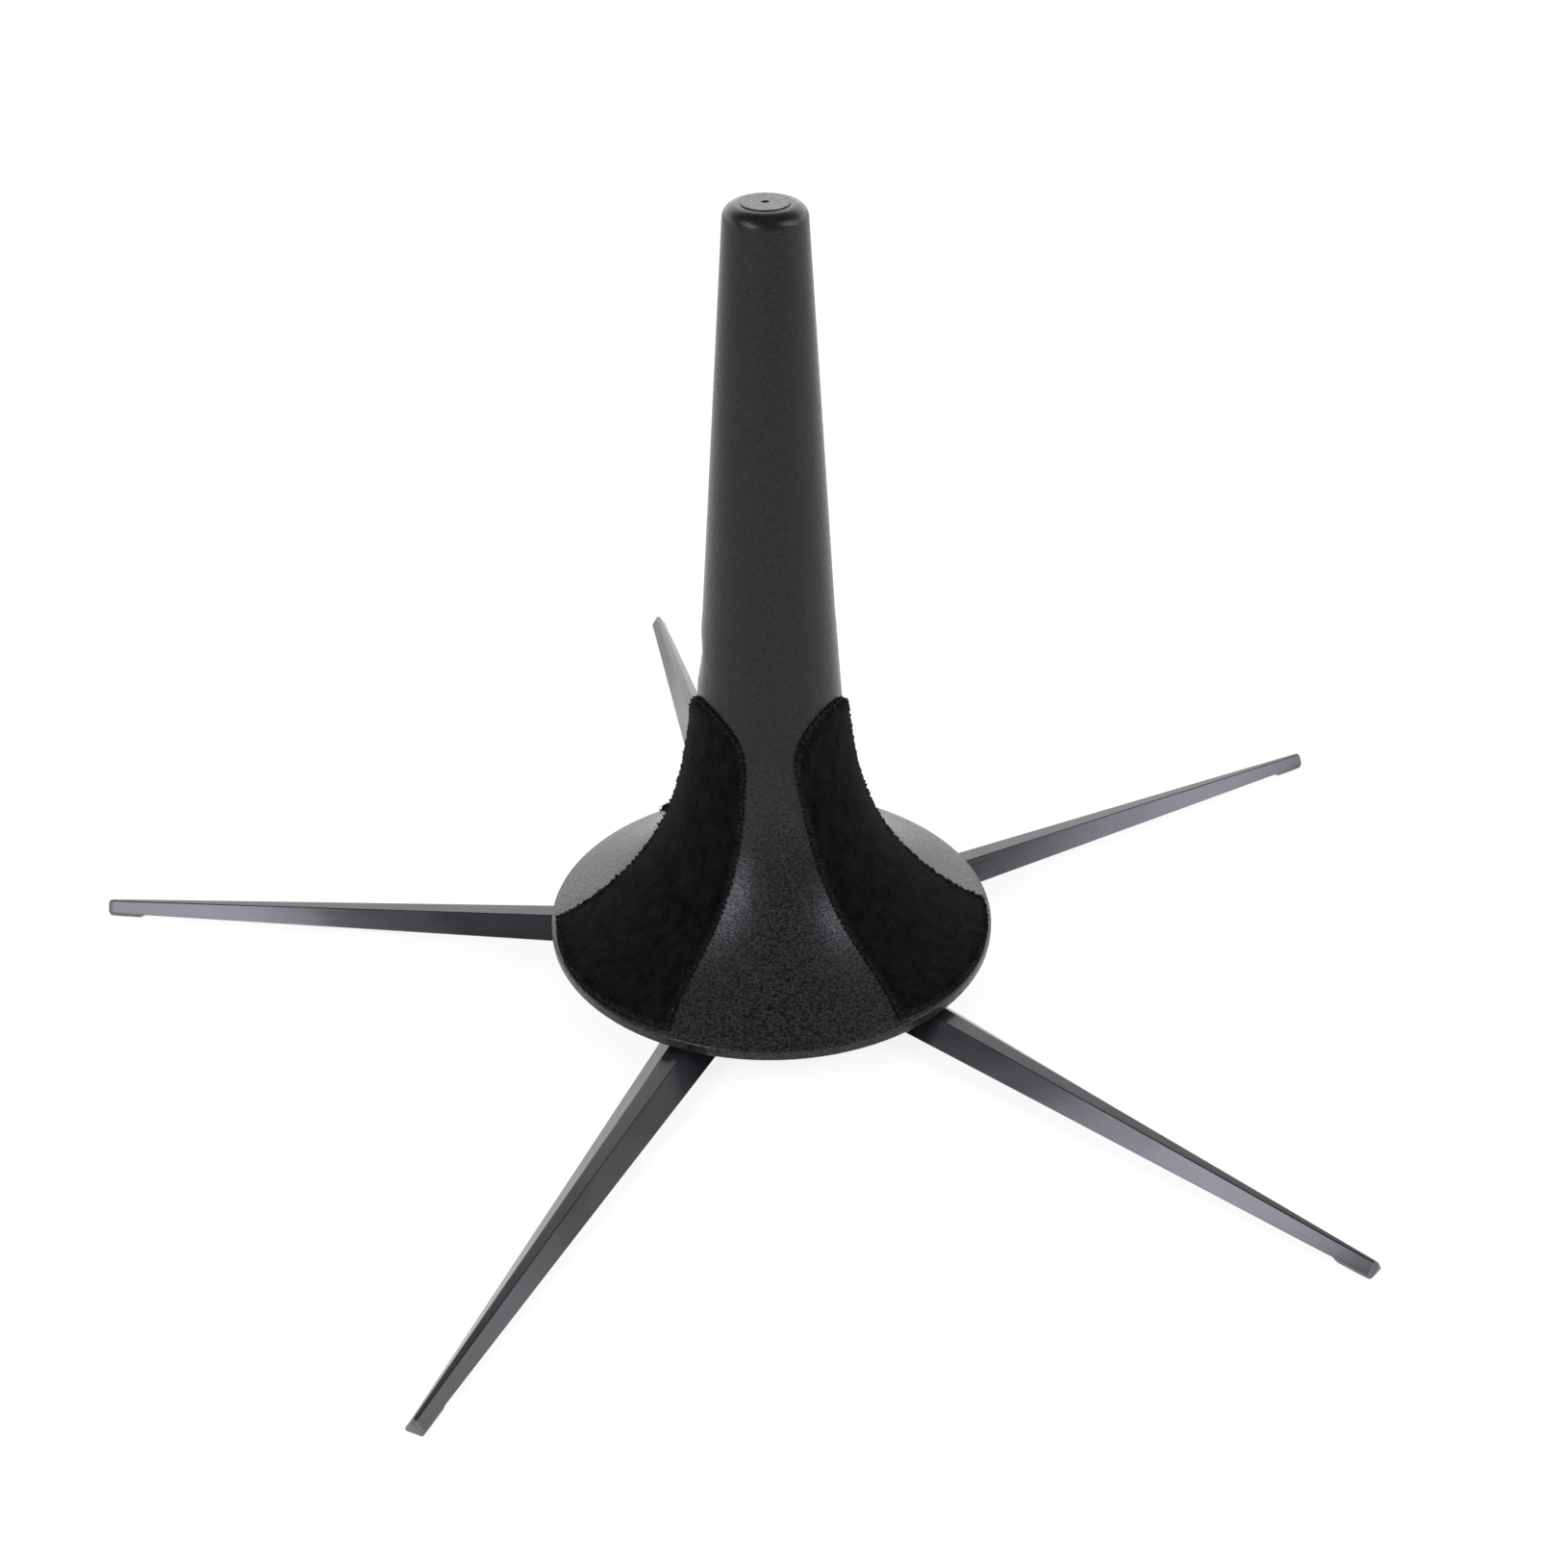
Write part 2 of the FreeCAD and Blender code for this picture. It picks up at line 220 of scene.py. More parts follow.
def combine(obj, tool, how):
    """Joins tool to obj, or cuts it away, and removes the tool."""
    modifier = obj.modifiers.new(how, "BOOLEAN")
    modifier.operation = how
    modifier.solver = "EXACT"
    modifier.object = tool
    apply_modifiers(obj)
    bpy.data.objects.remove(tool)
    return obj


def paint(obj, material):
    obj.data.materials.clear()
    obj.data.materials.append(material)


def repaint_node(name, material):
    """Gives a CAD node its finish, leaving its mesh as it is."""
    for slot in frame["nodes"][name].material_slots:
        slot.material = material


def lerp(a, b, t):
    return a + (b - a) * t


# ================================================================ node materials
MAP_RANGE_ENDS = ("From Min", "From Max", "To Min", "To Max")


class Finish:
    """A Principled material whose patterns are made from the piece's own coordinates."""

    def __init__(self, name):
        self.material = bpy.data.materials.new(name)
        self.material.use_nodes = True
        self.tree = self.material.node_tree
        self.tree.nodes.clear()
        self.shader = self.tree.nodes.new("ShaderNodeBsdfPrincipled")
        output = self.tree.nodes.new("ShaderNodeOutputMaterial")
        self.tree.links.new(self.shader.outputs["BSDF"], output.inputs["Surface"])
        self.place = self.tree.nodes.new("ShaderNodeTexCoord").outputs["Object"]

    def set(self, **sockets):
        for name, value in sockets.items():
            self.shader.inputs[name.replace("_", " ")].default_value = value

    def feed(self, socket, output):
        self.tree.links.new(output, self.shader.inputs[socket])

    def stretched(self, x, y, z, turn=0.0):
        node = self.tree.nodes.new("ShaderNodeMapping")
        node.inputs["Scale"].default_value = (x, y, z)
        node.inputs["Rotation"].default_value = (0, 0, turn)
        self.tree.links.new(self.place, node.inputs["Vector"])
        return node.outputs["Vector"]

    def noise(self, size, detail=2.0, rough=0.5, place=None, distortion=0.0):
        """Noise whose features are about size metres across."""
        node = self.tree.nodes.new("ShaderNodeTexNoise")
        node.inputs["Scale"].default_value = 1.0 / size
        node.inputs["Detail"].default_value = detail
        node.inputs["Roughness"].default_value = rough
        node.inputs["Distortion"].default_value = distortion
        self.tree.links.new(place or self.place, node.inputs["Vector"])
        return node.outputs["Fac"]

    def height(self):
        node = self.tree.nodes.new("ShaderNodeSeparateXYZ")
        self.tree.links.new(self.place, node.inputs["Vector"])
        return node.outputs["Z"]

    def product(self, first, second):
        node = self.tree.nodes.new("ShaderNodeMath")
        node.operation = "MULTIPLY"
        self.tree.links.new(first, node.inputs[0])
        self.tree.links.new(second, node.inputs[1])
        return node.outputs["Value"]

    def attribute(self, name):
        node = self.tree.nodes.new("ShaderNodeAttribute")
        node.attribute_name = name
        return node.outputs["Fac"]

    def mixed(self, share, first, second):
        """first where share is 0, and the plain colour second where it is 1."""
        node = self.tree.nodes.new("ShaderNodeMix")
        node.data_type = "RGBA"
        self.tree.links.new(share, node.inputs["Factor"])
        self.tree.links.new(first, node.inputs["A"])
        node.inputs["B"].default_value = (*second, 1)
        return node.outputs["Result"]

    def spread(self, value, low, high, to_low, to_high):
        """Maps low..high onto to_low..to_high, and holds it there."""
        node = self.tree.nodes.new("ShaderNodeMapRange")
        self.tree.links.new(value, node.inputs["Value"])
        for name, number in zip(MAP_RANGE_ENDS, (low, high, to_low, to_high)):
            node.inputs[name].default_value = number
        return node.outputs["Result"]

    def colours(self, value, low, high, low_colour, high_colour):
        """A colour that goes from low_colour to high_colour as value goes from low to high."""
        node = self.tree.nodes.new("ShaderNodeValToRGB")
        stops = ((low, low_colour), (high, high_colour))
        for element, (position, colour) in zip(node.color_ramp.elements, stops):
            element.position = position
            element.color = (*colour, 1)
        self.tree.links.new(value, node.inputs["Fac"])
        return node.outputs["Color"]

    def bump(self, height, depth, strength=None, under=None):
        """Relief of that depth, on top of the relief under, at a strength that may vary."""
        node = self.tree.nodes.new("ShaderNodeBump")
        node.inputs["Distance"].default_value = depth
        node.inputs["Strength"].default_value = 1.0
        if strength is not None:
            self.tree.links.new(strength, node.inputs["Strength"])
        self.tree.links.new(height, node.inputs["Height"])
        if under is not None:
            self.tree.links.new(under, node.inputs["Normal"])
        return node.outputs["Normal"]


def cone_plastic():
    """Charcoal moulding: a fine grain, deepest on the flare, and a smooth disc at its top. On the flare the
    grain's colour carries painted shade in its pits and painted light on its tops.
    """
    f = Finish("cone_plastic")
    grain = f.noise(0.62 * MM, 1.0, 0.4, f.stretched(1, 1, 1.8), 0.4)
    fine = f.noise(0.25 * MM, 1.0, 0.5)
    # Painted shade and light: the flare is coloured darker in the grain's pits and paler on its tops, following
    # the same noise as the bump; up the column it fades to a plain colour.
    grain_shade_and_light = f.colours(grain, 0.36, 0.64, (0.0015, 0.0015, 0.0016), (0.034, 0.034, 0.0345))
    plain = f.spread(f.height(), flare_grain_end, column_grain_start, 0.0, 0.75)
    f.feed("Base Color", f.mixed(plain, grain_shade_and_light, (0.0066, 0.0066, 0.0068)))
    f.feed("Roughness", f.spread(grain, 0.35, 0.65, 0.36, 0.22))
    up_column = f.spread(f.height(), flare_grain_end, column_grain_start, 1.0, 0.65)
    below_disc = f.spread(f.height(), cone_top - 0.35 * MM, cone_top - 0.25 * MM, 1.0, 0.15)
    grained = f.product(up_column, below_disc)
    coarse = f.bump(grain, 0.065 * MM, grained)
    f.feed("Normal", f.bump(fine, 0.012 * MM, grained, coarse))
    f.set(Specular_IOR_Level=0.26)
    return f.material


def hub_plastic():
    """Black moulding, matt and faintly uneven."""
    f = Finish("hub_plastic")
    fine = f.noise(0.5 * MM, 2.0, 0.5)
    patches = f.noise(6 * MM, 2.0)
    f.feed("Base Color", f.colours(patches, 0.35, 0.65, (0.02, 0.02, 0.021), (0.028, 0.028, 0.03)))
    f.feed("Roughness", f.spread(patches, 0.3, 0.7, 0.38, 0.5))
    f.feed("Normal", f.bump(fine, 0.03 * MM))
    return f.material


def velour():
    """Black pile, brushed into faint patches, greyer where pale says that its cut ends show."""
    f = Finish("velour")
    nap = f.noise(2.6 * MM, 3.0, 0.6, f.stretched(1, 1, 0.5))
    tufts = f.noise(0.5 * MM, 2.0, 0.6)
    pile = f.colours(nap, 0.32, 0.68, (0.0022, 0.002, 0.0019), (0.0082, 0.0068, 0.0064))
    f.feed("Base Color", f.mixed(f.attribute("pale"), pile, (0.16, 0.15, 0.145)))
    f.feed("Normal", f.bump(tufts, 0.3 * MM))
    f.set(Roughness=0.95, Specular_IOR_Level=0.05, Sheen_Weight=0.05, Sheen_Roughness=0.4)
    f.set(Sheen_Tint=(0.75, 0.62, 0.58, 1))
    return f.material


def leg_enamel():
    """Black enamel on pressed steel, with faint drawing marks along the leg."""
    f = Finish("leg_enamel")
    along = f.stretched(0.05, 1, 1)
    streaks = f.noise(0.7 * MM, 2.0, 0.5, along)
    waves = f.noise(14 * MM, 1.0, 0.4)
    patches = f.noise(10 * MM, 2.0, 0.5, f.stretched(0.4, 1, 1))
    blacks = f.colours(patches, 0.35, 0.65, (0.009, 0.009, 0.0105), (0.013, 0.013, 0.0155))
    f.feed("Base Color", blacks)
    f.feed("Roughness", f.spread(patches, 0.3, 0.7, 0.2, 0.3))
    wavy = f.bump(waves, 0.12 * MM)
    f.feed("Normal", f.bump(streaks, 0.012 * MM, under=wavy))
    f.set(Specular_IOR_Level=0.5, Coat_Weight=0.25, Coat_Roughness=0.12)
    return f.material


def foot_rubber():
    """Dark grey rubber with a fine tooth."""
    f = Finish("foot_rubber")
    fine = f.noise(0.3 * MM, 2.0, 0.6)
    patches = f.noise(2.5 * MM, 2.0)
    greys = f.colours(patches, 0.3, 0.7, (0.115, 0.115, 0.117), (0.155, 0.155, 0.157))
    f.feed("Base Color", greys)
    f.feed("Roughness", f.spread(patches, 0.3, 0.7, 0.55, 0.7))
    f.feed("Normal", f.bump(fine, 0.02 * MM))
    return f.material


def plated_steel():
    """Plated steel, faintly brushed, for the hinge pins and the screw."""
    f = Finish("plated_steel")
    brushed = f.noise(0.25 * MM, 2.0, 0.5, f.stretched(1, 1, 0.1))
    patches = f.noise(2 * MM, 2.0)
    f.feed("Base Color", f.colours(patches, 0.3, 0.7, (0.50, 0.50, 0.52), (0.62, 0.62, 0.63)))
    f.feed("Roughness", f.spread(patches, 0.3, 0.7, 0.25, 0.4))
    f.feed("Normal", f.bump(brushed, 0.004 * MM))
    f.set(Metallic=1.0)
    return f.material


def floor_paper():
    """White studio paper, with a glow of its own that keeps it white between the lights."""
    f = Finish("floor_paper")
    f.set(Base_Color=(0.27, 0.27, 0.27, 1), Roughness=0.9, Specular_IOR_Level=0.1)
    f.set(Emission_Color=(1, 1, 1, 1), Emission_Strength=0.84)
    return f.material


# ================================================================ the cone's surface
def cone_radius(z):
    """Radius of the outer surface: the taper, plus a flare that dies away up the column."""
    straight = tip_radius + taper * (cone_top - z)
    at_rim = tip_radius + taper * (cone_top - rim_z)
    height = max(z - rim_z, 0.0) / flare_height
    return straight + (rim_radius - at_rim) * math.exp(-(height ** flare_power))


def cone_slope(z):
    step = 0.01 * MM
    return (cone_radius(z + step) - cone_radius(z - step)) / (2 * step)


def on_cone(across, z, offset):
    """Point in front of +X: across is sideways, offset is out along the surface's normal."""
    radius = cone_radius(z)
    angle = math.asin(across / radius)
    slope = cone_slope(z)
    length = math.hypot(1.0, slope)
    out = radius + offset / length
    return Vector((out * math.cos(angle), out * math.sin(angle), z - offset * slope / length))


class Meridian:
    """Distance along the cone's surface, measured up from the pads' lower edge."""

    def __init__(self):
        self.z = np.linspace(pad_low - 2 * MM, pad_apex + 4 * MM, 400)
        lengths = [math.hypot(1.0, cone_slope(z)) for z in self.z]
        steps = np.diff(self.z) * (np.array(lengths[1:]) + np.array(lengths[:-1])) / 2
        self.s = np.concatenate([[0.0], np.cumsum(steps)])
        self.s -= np.interp(pad_low, self.z, self.s)

    def height(self, s):
        return float(np.interp(s, self.s, self.z))

    def length(self, z):
        return float(np.interp(z, self.z, self.s))


# ================================================================ velour pads
def natural_spline(points, step):
    """Smooth curve through points, as a polyline with about that step."""
    points = np.array(points)
    t = np.concatenate([[0.0], np.cumsum(np.linalg.norm(np.diff(points, axis=0), axis=1))])
    n = len(t)
    h = np.diff(t)
    system = np.eye(n)
    right = np.zeros((n, 2))
    for i in range(1, n - 1):
        system[i, i - 1:i + 2] = (h[i - 1], 2 * (h[i - 1] + h[i]), h[i])
        right[i] = 6 * ((points[i + 1] - points[i]) / h[i] - (points[i] - points[i - 1]) / h[i - 1])
    second = np.linalg.solve(system, right)
    out = []
    for u in np.linspace(0, t[-1], int(t[-1] / step) + 1):
        i = min(int(np.searchsorted(t, u, side="right")) - 1, n - 2)
        a, b = t[i + 1] - u, u - t[i]
        out.append(
            second[i] * a ** 3 / (6 * h[i]) + second[i + 1] * b ** 3 / (6 * h[i])
            + (points[i] / h[i] - second[i] * h[i] / 6) * a
            + (points[i + 1] / h[i] - second[i + 1] * h[i] / 6) * b
        )
    return np.array(out)


def pad_outline(meridian):
    """The pad's cut edge, laid flat: (across, length up the surface)."""
    corner = (pad_corner, pad_corner_z)
    right = [corner] + [(y * MM, z * MM) for y, z in pad_right]
    left = [corner] + [(y * MM, z * MM) for y, z in pad_left]
    over = right + [(0.0, pad_apex)] + [(-y, z) for y, z in reversed(left)]
    arch = natural_spline(over, pad_outline_step)
    across = np.linspace(-pad_corner, pad_corner, int(2 * pad_corner / pad_outline_step))[1:-1]
    bow = [(y, lerp(pad_low, pad_corner_z, (y / pad_corner) ** 2)) for y in across]
    return [Vector((y, meridian.length(z))) for y, z in [*arch, *bow]]


def edge_normals(outline):
    """Unit vectors that point out of the flat outline, one for each of its points."""
    normals = []
    for i, point in enumerate(outline):
        along = (outline[(i + 1) % len(outline)] - outline[i - 1]).normalized()
        normal = Vector((along.y, -along.x))
        normals.append(normal if normal.dot(point - pad_middle) > 0 else -normal)
    return normals


def ragged(outline, seed):
    """The same edge, inside its seat, with clumps of pile and the loose ends that cutting leaves."""
    out = []
    run = 0.0
    before = outline[-1]
    for point, normal in zip(outline, edge_normals(outline)):
        run += (point - before).length
        before = point
        wander = noise.noise(Vector((run / pad_tooth * 0.4, seed, 0)))
        notch = 2 * abs((run / pad_tooth + pad_tooth_wander * wander) % 1.0 - 0.5)
        fray = noise.noise(Vector((run / pad_fray_step, seed + 7.0, 0)))
        out.append(point - normal * (pad_gap + pad_tooth_depth * notch + pad_fray * (0.5 + fray)))
    return out


def thinned(points, step):
    """The same points, leaving out those that are closer than step to the last one kept."""
    out = [points[0]]
    for point in points[1:]:
        if (point - out[-1]).length >= step:
            out.append(point)
    return out


def inside(point, outline):
    """Even-odd test."""
    hit = False
    for a, b in zip(outline, outline[1:] + outline[:1]):
        if (a.y > point.y) != (b.y > point.y):
            if point.x < a.x + (b.x - a.x) * (point.y - a.y) / (b.y - a.y):
                hit = not hit
    return hit


def distances_to(points, edge):
    """Each point's distance to the nearest point of the edge."""
    tree = kdtree.KDTree(len(edge))
    for i, p in enumerate(edge):
        tree.insert((p.x, p.y, 0), i)
    tree.balance()
    return [tree.find((p.x, p.y, 0))[2] for p in points]


def pile_height(place, gap, seed):
    """Height of the pile above the plastic, rounded off within pad_edge_round of the edge."""
    inward = min(gap / pad_edge_round, 1.0)
    crown = pad_proud - pad_edge_drop * (1 - math.sqrt(1 - (1 - inward) ** 2))
    where = Vector((place.x, place.y, 0))
    clumps = noise.noise(where / pile_clump + Vector((seed, 0, 0)))
    tufts = noise.noise(where / pile_tuft + Vector((0, seed, 5)))
    fringe = max(1 - gap / pile_fringe, 0.0)
    return crown + pile_clump_height * clumps + (pile_tuft_height + pile_fringe_height * fringe) * tufts


def pad_grid(outline):
    """Points inside the outline, in staggered rows."""
    points = []
    coarse = thinned(outline, 3 * pad_edge_step)
    row = 1
    y = pad_mesh_step
    while y < max(p.y for p in outline):
        x = 0.5 * pad_mesh_step * (row % 2) - pad_corner
        while x < pad_corner:
            points.append(Vector((x, y)))
            x += pad_mesh_step
        y += pad_mesh_step * math.sqrt(0.75)
        row += 1
    gaps = distances_to(points, outline)
    return [p for p, gap in zip(points, gaps) if gap > 0.5 * pad_mesh_step and inside(p, coarse)]


def cut_ends(points, gaps, seed):
    """How much of each point's colour is that of the cut pile: pale clumps close to the edge."""
    out = []
    for p, gap in zip(points, gaps):
        clump = noise.noise(Vector((p.x, p.y, 0)) / cut_clump + Vector((seed, 3, 0)))
        near = max(1 - gap / pad_edge_round, 0.0)
        out.append(cut_pale * near ** 2 * max(0.45 + clump, 0.0))
    return out


def set_pale(obj, values):
    """Stores how much of each point's colour is that of cut ends."""
    obj.data.attributes.new("pale", "FLOAT", "POINT").data.foreach_set("value", values)


def cloth_mesh(name, azimuth, seed, meridian, outline):
    """The pad as one closed cloth: its pile above, its backing in the seat, a wall all round."""
    count = len(outline)
    loop = [(i, (i + 1) % count) for i in range(count)]
    points, _, faces, *_ = geometry.delaunay_2d_cdt(outline + pad_grid(outline), loop, [], 1, 1e-9)
    gaps = distances_to(points, outline)
    turn = Matrix.Rotation(azimuth, 4, "Z")
    upper = []
    lower = []
    for p, gap in zip(points, gaps):
        z = meridian.height(p.y)
        upper.append(turn @ on_cone(p.x, z, pile_height(p, gap, seed)))
        lower.append(turn @ on_cone(p.x, z, -pad_recess))
    n = len(points)
    over = [tuple(face) for face in faces]
    under = [tuple(reversed([i + n for i in face])) for face in faces]
    walls = [(i, (i + 1) % count, (i + 1) % count + n, i + n) for i in range(count)]
    cloth = outward(mesh_object(name, upper + lower, over + under + walls, 60))
    cut = cut_ends(points, gaps, seed)
    set_pale(cloth, cut + cut)
    return cloth


def make_pad(node, azimuth, seed, meridian, material):
    outline = thinned(ragged(pad_outline(meridian), seed), pad_edge_step)
    cloth = cloth_mesh(node + "_cloth", azimuth, seed, meridian, outline)
    paint(cloth, material)
    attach(cloth, BODY_OF[node])
    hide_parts(node)
    pile = make_pile(node, azimuth, seed, meridian, outline, material)


def tuft_roots(outline, chance):
    """Where the loose tufts stand, and the way that each leans: None, or out over the pad's edge."""
    coarse = thinned(outline, 3 * pad_edge_step)
    top = max(p.y for p in outline)
    wanted = int(2 * pad_corner * top / MM ** 2 * tufts_per_mm2)
    throws = [Vector((pad_corner * (2 * u - 1), top * v)) for u, v in chance.random((wanted, 2))]
    roots = [(p, None) for p in throws if inside(p, coarse)]
    normals = edge_normals(outline)
    edge_count = int(len(outline) * pad_edge_step / MM * tufts_per_mm_of_edge)
    for pick, shift in zip(chance.integers(0, len(outline), edge_count), chance.random(edge_count)):
        roots.append((outline[pick] - normals[pick] * shift * pad_edge_round / 2, normals[pick]))
    return roots


def spike(root, edge, height, z, draws, is_lint):
    """One tuft: the three points of its foot and its tip, brushed down and, at an edge, outwards."""
    length, lean, side, spin = draws
    base = on_cone(root.x, z, height - tuft_root)
    out = (on_cone(root.x, z, height + 1 * MM) - base).normalized()
    across = UP.cross(out).normalized()
    up = out.cross(across)
    brushed = out + across * (side - 0.5) * 0.9 - up * (0.15 + 0.5 * lean)
    if edge is not None:
        brushed += (across * edge.x + up * edge.y) * (0.3 + lean)
    radius = (lint_width if is_lint else tuft_width) / 2
    points = []
    for k in range(3):
        angle = math.tau * (k / 3 + spin)
        points.append(base + (across * math.cos(angle) + up * math.sin(angle)) * radius)
    points.append(base + brushed.normalized() * tuft_length * (0.55 + 0.6 * length))
    return points


def make_pile(node, azimuth, seed, meridian, outline, material):
    """Loose tufts over the pad and along its cut edge, each a thin closed spike."""
    chance = np.random.default_rng(int(seed) + tuft_seed)
    roots = tuft_roots(outline, chance)
    gaps = distances_to([root for root, _ in roots], outline)
    turn = Matrix.Rotation(azimuth, 4, "Z")
    points = []
    faces = []
    pale = []
    draws = chance.random((len(roots), 5))
    for (root, edge), gap, (*shape, shade_draw) in zip(roots, gaps, draws):
        is_lint = edge is not None and shade_draw < lint_share
        a, b, c, tip = range(len(points), len(points) + 4)
        height = pile_height(root, gap, seed)
        points += [turn @ p for p in spike(root, edge, height, meridian.height(root.y), shape, is_lint)]
        pale += [1.0 if is_lint else tuft_pale * shade_draw] * 4
        faces += [(a, b, tip), (b, c, tip), (c, a, tip), (c, b, a)]
    pile = outward(mesh_object(node + "_pile", points, faces, 60))
    set_pale(pile, pale)
    paint(pile, material)
    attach(pile, BODY_OF[node])
    return pile


# ================================================================ legs
def rounded(corners, radii, steps=3):
    """Closed outline with its corners rounded; only which radii are 0 decides how many points it has."""
    out = []
    for i, corner in enumerate(corners):
        if radii[i] == 0:
            out.append(corner)
            continue
        to_before = corners[i - 1] - corner
        to_after = corners[(i + 1) % len(corners)] - corner
        a, b = to_before.normalized(), to_after.normalized()
        half = a.angle(b) / 2
        reach = min(radii[i] / math.tan(half), 0.45 * to_before.length, 0.45 * to_after.length)
        radius = reach * math.tan(half)
        centre = corner + (a + b).normalized() * radius / math.sin(half)
        start = corner + a * reach - centre
        end = corner + b * reach - centre
        for k in range(steps + 1):
            out.append(centre + start.lerp(end, k / steps).normalized() * radius)
    return out


def tube(name, rings):
    """Closed mesh through rings of points, with a face at each end."""
    n = len(rings[0])
    points = [p for ring in rings for p in ring]
    faces = []
    for r in range(len(rings) - 1):
        for i in range(n):
            j = (i + 1) % n
            faces.append((r * n + i, r * n + j, (r + 1) * n + j, (r + 1) * n + i))
    last = (len(rings) - 1) * n
    faces.append(tuple(range(n - 1, -1, -1)))
    faces.append(tuple(range(last, last + n)))
    return outward(mesh_object(name, points, faces))


def leg_section(x):
    """Section at x, straight between the pivot, the root's end, the shoulder and the tip."""
    if x <= root_end:
        ear_low = pivot_z - ear_radius
        share = (x - pivot_radius) / (root_end - pivot_radius)
        return *root_section[:3], lerp(ear_low, root_section[3], share)
    if x <= shoulder_at:
        share = (x - root_end) / (shoulder_at - root_end)
        return tuple(lerp(a, b, share) for a, b in zip(root_section, shoulder_section))
    share = (x - shoulder_at) / (leg_end - shoulder_at)
    return tuple(lerp(a, b, share) for a, b in zip(shoulder_section, tip_section))


def channel_inside(x, shrink=0.0):
    """Half-width and height of the channel's roof, and half-width of its open side."""
    top_half, low_half, top, low = leg_section(x)
    lean = (low_half - top_half) / (top - low)
    thick = leg_sheet + shrink
    sideways = thick * math.hypot(1.0, lean)
    return max(top_half + lean * thick - sideways, least_half), top - thick, low_half - sideways


def channel_ring(x):
    """The pressed sheet's outline at x: a channel that is open below."""
    top_half, low_half, top, low = leg_section(x)
    roof_half, roof, open_half = channel_inside(x)
    corners = [
        (-low_half, low), (-top_half, top), (top_half, top), (low_half, low),
        (open_half, low), (roof_half, roof), (-roof_half, roof), (-open_half, low),
    ]
    outside = [lip_round, bend_outside, bend_outside, lip_round]
    inside_radii = [lip_round, bend_inside, bend_inside, lip_round]
    outline = rounded([Vector(c) for c in corners], outside + inside_radii)
    return [Vector((x, p.x, p.y)) for p in outline]


def crosswise_disc(name, radius, y0, y1, x, z, sides=48):
    """Disc that lies across the leg, from y0 to y1."""
    rings = []
    for y in (y0, y1):
        angles = [math.tau * i / sides for i in range(sides)]
        rings.append([Vector((x + radius * math.cos(t), y, z + radius * math.sin(t))) for t in angles])
    return tube(name, rings)


def leg_mesh():
    """The channel, with two ears round its hinge pin."""
    root = np.linspace(pivot_radius, root_end, 5)
    neck = np.linspace(root_end, shoulder_at, 7)[1:]
    blade = np.linspace(shoulder_at, leg_end, 41)[1:]
    leg = tube("leg", [channel_ring(float(x)) for x in [*root, *neck, *blade]])
    half = root_section[0]
    for side in (1, -1):
        inner = side * (half - leg_sheet + sliver)
        outer = side * (half - sliver)
        combine(leg, crosswise_disc("ear", ear_radius, inner, outer, pivot_radius, pivot_z), "UNION")
    hole = crosswise_disc("hole", pin_hole, -2 * half, 2 * half, pivot_radius, pivot_z)
    combine(leg, hole, "DIFFERENCE")
    shade(leg.data, 35)
    mesh = flat_faced(leg).data
    bpy.data.objects.remove(leg)
    return mesh


# ================================================================ rubber feet
def sole_height(x, y):
    """Underside of the rubber: heel, flat and toe along the foot, crowned across it."""
    along = np.interp(x / MM, *zip(*foot_profile)) * MM
    centre = foot_crown - foot_crown_drop
    return max(float(along), centre - math.sqrt(foot_crown ** 2 - y ** 2), 0.0)


def foot_ring(x, in_channel, shrink=0.0):
    """The rubber's outline at x: plug or cap above, sole below, closed in by shrink."""
    top_half, low_half, top, low = leg_section(min(x, leg_end))
    if in_channel:
        top_half, top, low_half = channel_inside(x, foot_fit)
    body = [(-low_half, low), (-top_half, top), (top_half, top), (low_half, low)]
    across = [foot_half * (1 - k / 4) for k in range(9)]
    sole = [(y, min(sole_height(x, y), low - 0.01 * MM)) for y in across]
    step = low - 0.005 * MM
    corners = [Vector(c) for c in (*body, (foot_half, step), *sole, (-foot_half, step))]
    bend = foot_plug_round if in_channel else foot_cap_round
    radii = [foot_low_round, bend, bend, foot_low_round] + [0] * (len(corners) - 4)
    middle = Vector((0.0, (top + sole_height(x, 0)) / 2))
    share = 1 - shrink / (top - middle.y)
    outline = [middle + (p - middle) * share for p in rounded(corners, radii)]
    return [Vector((x, p.x, p.y)) for p in outline]


def foot_mesh():
    """Rubber plug in the leg's tip, with a sole below it and a rounded end cap."""
    marks = [foot_inner, *(x * MM for x, _ in foot_profile[:3]), foot_toe_middle, leg_end]
    rings = [foot_ring(x, True) for x in marks]
    rings.append(foot_ring(leg_end + 0.002 * MM, False))
    straight_end = foot_end - foot_end_round
    rings.append(foot_ring(straight_end, False))
    for k in range(1, foot_end_steps + 1):
        angle = math.pi / 2 * k / foot_end_steps
        x = straight_end + foot_end_round * math.sin(angle)
        rings.append(foot_ring(x, False, foot_dome * foot_end_round * (1 - math.cos(angle))))
    foot = tube("foot", rings)
    shade(foot.data, 50)
    mesh = flat_faced(foot).data
    bpy.data.objects.remove(foot)
    return mesh


def make_legs(finishes):
    """All five legs share one mesh and all five feet another, each turned to its own azimuth."""
    leg = leg_mesh()
    leg.materials.append(finishes["leg_enamel"])
    foot = foot_mesh()
    foot.materials.append(finishes["foot_rubber"])
    for i, joint in enumerate(leg_joints, 1):
        azimuth = math.atan2(joint["pos_m"][1], joint["pos_m"][0])
        for node, mesh, slot in ((f"leg_{i}", leg, "leg_enamel"), (f"foot_{i}", foot, "foot_rubber")):
            obj = link(bpy.data.objects.new(node + "_shown", mesh))
            obj.rotation_euler = (0, 0, azimuth)
            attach(obj, BODY_OF[node])
            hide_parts(node)


